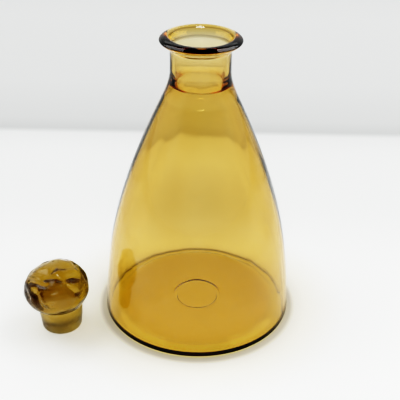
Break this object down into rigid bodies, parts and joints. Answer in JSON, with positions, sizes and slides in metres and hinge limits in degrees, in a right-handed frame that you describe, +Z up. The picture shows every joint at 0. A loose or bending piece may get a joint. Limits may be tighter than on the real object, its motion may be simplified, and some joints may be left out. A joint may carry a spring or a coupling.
{
  "type": "stoppered flask",
  "caption": "Conical amber glass flask with a short neck and flared lip, with its loose ball stopper standing beside it.",
  "frame": {"origin": "centre of the flask's base on the surface that it stands on", "axes": "+Z up along the flask's neck; the stopper stands on the -X side, a little towards -Y"},
  "size_m": [0.2038, 0.1456, 0.2228],
  "materials": {
    "amber_glass": "gloss",
    "stopper_glass": "gloss, with a ground plug"
  },
  "bodies": {
    "flask": {"flask_body": "amber_glass"},
    "stopper": {"stopper": "stopper_glass"}
  },
  "joints": [
    {"name": "stopper_lift", "type": "slide", "parent": "flask", "child": "stopper", "axis": [0, 0, 1], "range_m": [0, 0.25]}
  ]
}
